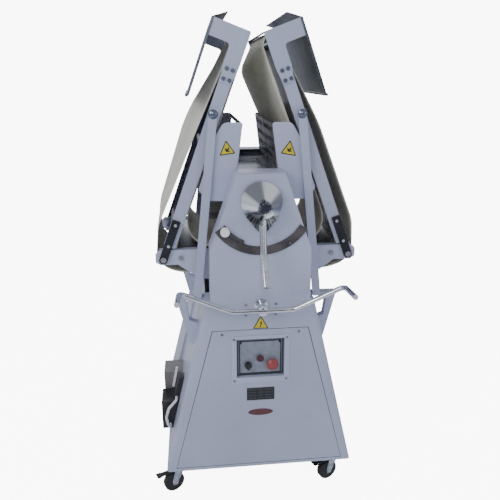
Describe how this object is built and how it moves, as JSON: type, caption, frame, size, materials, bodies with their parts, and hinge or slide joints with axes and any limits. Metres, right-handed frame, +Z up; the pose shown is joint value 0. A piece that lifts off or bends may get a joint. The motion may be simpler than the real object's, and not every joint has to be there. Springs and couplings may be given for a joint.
{
  "type": "dough sheeter",
  "caption": "Floor-standing reversible dough sheeter: tapered cabinet on castors, roller head with gap lever and dial arc, two fold-up conveyor tables with guards, handlebar.",
  "frame": {"origin": "on the floor, on the middle plane of the cabinet, half way between the rear face and the handlebar grips", "axes": "+Z up, +X to the operator's right across the machine, +Y away from the operator"},
  "size_m": [0.7234, 0.8267, 1.6218],
  "materials": {
    "cream_paint": "smooth satin off-white paint",
    "cover_paint": "smooth satin off-white paint",
    "dark_steel": "dark oiled steel scale plate",
    "stainless": "brushed stainless sheet",
    "plate_steel": "ground steel",
    "link_steel": "black-coated steel with bright pins",
    "lever_chrome": "polished chrome",
    "bar_chrome": "polished chrome rod",
    "roller_chrome": "polished roller",
    "strut_steel": "light paint with blue-grey domed bolt",
    "guard_sheet": "light cheeks and a brown-grey slotted sheet",
    "belt_cloth": "cream woven conveyor belt",
    "screw_steel": "zinc screws",
    "fork_steel": "zinc plated fork",
    "wheel_rubber": "black rubber wheel",
    "brake_plastic": "black brake pedal",
    "knob_white": "white knob",
    "panel_paint": "recessed control panel",
    "label_plates": "black and red plates, yellow label",
    "green_button": "green push button",
    "red_button": "red mushroom button",
    "black_knob": "black selector",
    "motor_paint": "painted cast housing",
    "chain_steel": "oiled roller chain",
    "socket_black": "black socket and plug",
    "lead_white": "white lead"
  },
  "bodies": {
    "base": {"floor_frame": "cream_paint", "front_casing": "cream_paint", "rear_casing": "cream_paint", "front_door": "cream_paint", "control_frame": "cream_paint", "control_panel": "panel_paint", "front_plates": "label_plates", "head_front_cover": "cover_paint", "head_rear_cover": "cover_paint", "side_plates": "plate_steel", "top_tray_and_scrapers": "stainless", "pivot_arms": "cream_paint", "fixed_beds": "stainless", "strut_rests": "cream_paint", "scale_arc": "dark_steel", "handlebar_bearing": "cover_paint", "gearmotor": "motor_paint", "drive_chain": "chain_steel", "isolator_and_socket": "socket_black", "isolator_lead": "lead_white", "casing_screws": "screw_steel"},
    "gap_lever": {"gap_lever": "lever_chrome", "lever_grip": "lever_chrome"},
    "upper_carriage": {"upper_carriage": "plate_steel"},
    "upper_roller": {"upper_roller": "roller_chrome"},
    "lower_roller": {"lower_roller": "roller_chrome"},
    "left_drive_roller": {"left_drive_roller": "roller_chrome"},
    "right_drive_roller": {"right_drive_roller": "roller_chrome"},
    "handlebar": {"handlebar": "bar_chrome"},
    "stop_knob": {"stop_knob": "knob_white"},
    "selector_knob": {"selector_knob": "black_knob"},
    "start_button": {"start_button": "green_button"},
    "stop_button": {"stop_button": "red_button"},
    "isolator_switch": {"isolator_switch": "knob_white"},
    "right_table": {"right_table_frame": "cream_paint", "right_table_bed": "stainless", "right_table_links": "link_steel", "right_catch_pan": "stainless", "right_belt": "belt_cloth"},
    "right_nose_roller": {"right_nose_roller": "roller_chrome"},
    "right_struts": {"right_struts": "strut_steel"},
    "right_guard": {"right_guard": "guard_sheet"},
    "left_table": {"left_table_frame": "cream_paint", "left_table_bed": "stainless", "left_table_links": "link_steel", "left_catch_pan": "stainless", "left_belt": "belt_cloth"},
    "left_nose_roller": {"left_nose_roller": "roller_chrome"},
    "left_struts": {"left_struts": "strut_steel"},
    "left_guard": {"left_guard": "guard_sheet"},
    "front_left_castor": {"front_left_castor_fork": "fork_steel"},
    "front_left_wheel": {"front_left_castor_wheel": "wheel_rubber"},
    "front_left_brake": {"front_left_castor_brake": "brake_plastic"},
    "front_right_castor": {"front_right_castor_fork": "fork_steel"},
    "front_right_wheel": {"front_right_castor_wheel": "wheel_rubber"},
    "front_right_brake": {"front_right_castor_brake": "brake_plastic"},
    "rear_left_castor": {"rear_left_castor_fork": "fork_steel"},
    "rear_left_wheel": {"rear_left_castor_wheel": "wheel_rubber"},
    "rear_right_castor": {"rear_right_castor_fork": "fork_steel"},
    "rear_right_wheel": {"rear_right_castor_wheel": "wheel_rubber"}
  },
  "joints": [
    {"name": "lever_turn", "type": "hinge", "parent": "base", "child": "gap_lever", "pos_m": [0, -0.255, 1.082], "axis": [0, 1, 0], "range_deg": [-45, 45]},
    {"name": "carriage_slide", "type": "slide", "parent": "base", "child": "upper_carriage", "axis": [0, 0, 1], "range_m": [-0.017, 0.017]},
    {"name": "lower_roller_spin", "type": "hinge", "parent": "base", "child": "lower_roller", "pos_m": [0, 0.079, 0.858], "axis": [0, 1, 0], "continuous": true},
    {"name": "upper_roller_spin", "type": "hinge", "parent": "upper_carriage", "child": "upper_roller", "pos_m": [0, 0.079, 0.962], "axis": [0, 1, 0], "continuous": true},
    {"name": "right_drive_roller_spin", "type": "hinge", "parent": "base", "child": "right_drive_roller", "pos_m": [0.0965, 0.079, 0.8685], "axis": [0, 1, 0], "continuous": true},
    {"name": "right_table_fold", "type": "hinge", "parent": "base", "child": "right_table", "pos_m": [0.3085, 0.079, 0.8705], "axis": [0, 1, 0], "range_deg": [0, 110.3], "deforming": ["right_belt"]},
    {"name": "right_nose_roller_spin", "type": "hinge", "parent": "right_table", "child": "right_nose_roller", "pos_m": [0.04843, 0.079, 1.55051], "axis": [0, 1, 0], "continuous": true},
    {"name": "right_strut_swing", "type": "hinge", "parent": "right_table", "child": "right_struts", "pos_m": [0.13725, 0.079, 1.33344], "axis": [0, 1, 0], "range_deg": [-27, 0]},
    {"name": "right_guard_lift", "type": "hinge", "parent": "base", "child": "right_guard", "pos_m": [0.084, 0.079, 1.1], "axis": [0, 1, 0], "range_deg": [0, 76]},
    {"name": "left_drive_roller_spin", "type": "hinge", "parent": "base", "child": "left_drive_roller", "pos_m": [-0.0965, 0.079, 0.8685], "axis": [0, 1, 0], "continuous": true},
    {"name": "left_table_fold", "type": "hinge", "parent": "base", "child": "left_table", "pos_m": [-0.3085, 0.079, 0.8705], "axis": [0, -1, 0], "range_deg": [0, 110.3], "deforming": ["left_belt"]},
    {"name": "left_nose_roller_spin", "type": "hinge", "parent": "left_table", "child": "left_nose_roller", "pos_m": [-0.04843, 0.079, 1.55051], "axis": [0, 1, 0], "continuous": true},
    {"name": "left_strut_swing", "type": "hinge", "parent": "left_table", "child": "left_struts", "pos_m": [-0.13725, 0.079, 1.33344], "axis": [0, -1, 0], "range_deg": [-27, 0]},
    {"name": "left_guard_lift", "type": "hinge", "parent": "base", "child": "left_guard", "pos_m": [-0.084, 0.079, 1.1], "axis": [0, -1, 0], "range_deg": [0, 76]},
    {"name": "handlebar_turn", "type": "hinge", "parent": "base", "child": "handlebar", "pos_m": [0, -0.305, 0.742], "axis": [0, 1, 0], "range_deg": [-12, 12]},
    {"name": "stop_knob_swing", "type": "hinge", "parent": "base", "child": "stop_knob", "pos_m": [0, -0.265, 1.082], "axis": [0, -1, 0], "range_deg": [0, 20]},
    {"name": "selector_turn", "type": "hinge", "parent": "base", "child": "selector_knob", "pos_m": [-0.041, -0.255, 0.522], "axis": [0, 1, 0], "range_deg": [0, 45]},
    {"name": "start_press", "type": "slide", "parent": "base", "child": "start_button", "axis": [0, 1, 0], "range_m": [0, 0.004], "stiffness_N_per_m": 400},
    {"name": "stop_press", "type": "slide", "parent": "base", "child": "stop_button", "axis": [0, 1, 0], "range_m": [0, 0.005]},
    {"name": "isolator_turn", "type": "hinge", "parent": "base", "child": "isolator_switch", "pos_m": [-0.3045, -0.029, 0.326], "axis": [0, -1, 0], "range_deg": [0, 60]},
    {"name": "front_left_swivel", "type": "hinge", "parent": "base", "child": "front_left_castor", "pos_m": [-0.285, -0.193, 0.1], "axis": [0, 0, 1], "continuous": true},
    {"name": "front_left_wheel_roll", "type": "hinge", "parent": "front_left_castor", "child": "front_left_wheel", "pos_m": [-0.31038, -0.20483, 0.0375], "axis": [0.4226, -0.9063, 0], "continuous": true},
    {"name": "front_left_brake_press", "type": "hinge", "parent": "front_left_castor", "child": "front_left_brake", "pos_m": [-0.30494, -0.2023, 0.084], "axis": [0.4226, -0.9063, 0], "range_deg": [0, 10]},
    {"name": "front_right_swivel", "type": "hinge", "parent": "base", "child": "front_right_castor", "pos_m": [0.285, -0.193, 0.1], "axis": [0, 0, 1], "continuous": true},
    {"name": "front_right_wheel_roll", "type": "hinge", "parent": "front_right_castor", "child": "front_right_wheel", "pos_m": [0.25904, -0.20349, 0.0375], "axis": [0.3746, -0.9272, 0], "continuous": true},
    {"name": "front_right_brake_press", "type": "hinge", "parent": "front_right_castor", "child": "front_right_brake", "pos_m": [0.2646, -0.20124, 0.084], "axis": [0.3746, -0.9272, 0], "range_deg": [0, 10]},
    {"name": "rear_left_swivel", "type": "hinge", "parent": "base", "child": "rear_left_castor", "pos_m": [-0.285, 0.351, 0.1], "axis": [0, 0, 1], "continuous": true},
    {"name": "rear_left_wheel_roll", "type": "hinge", "parent": "rear_left_castor", "child": "rear_left_wheel", "pos_m": [-0.31131, 0.36058, 0.0375], "axis": [-0.342, -0.9397, 0], "continuous": true},
    {"name": "rear_right_swivel", "type": "hinge", "parent": "base", "child": "rear_right_castor", "pos_m": [0.285, 0.351, 0.1], "axis": [0, 0, 1], "continuous": true},
    {"name": "rear_right_wheel_roll", "type": "hinge", "parent": "rear_right_castor", "child": "rear_right_wheel", "pos_m": [0.31131, 0.36058, 0.0375], "axis": [-0.342, 0.9397, 0], "continuous": true}
  ],
  "couplings": [
    {"joint": "carriage_slide", "follows": "lever_turn", "m_per_rad": 0.02164},
    {"joint": "upper_roller_spin", "follows": "lower_roller_spin", "ratio": -1},
    {"joint": "right_drive_roller_spin", "follows": "lower_roller_spin", "ratio": 1.436},
    {"joint": "right_nose_roller_spin", "follows": "lower_roller_spin", "ratio": 2.127},
    {"joint": "right_strut_swing", "follows": "right_table_fold", "ratio": -0.2406},
    {"joint": "right_guard_lift", "follows": "right_table_fold", "ratio": 0.68},
    {"joint": "left_drive_roller_spin", "follows": "lower_roller_spin", "ratio": 1.436},
    {"joint": "left_nose_roller_spin", "follows": "lower_roller_spin", "ratio": 2.127},
    {"joint": "left_strut_swing", "follows": "left_table_fold", "ratio": -0.2406},
    {"joint": "left_guard_lift", "follows": "left_table_fold", "ratio": 0.68}
  ]
}
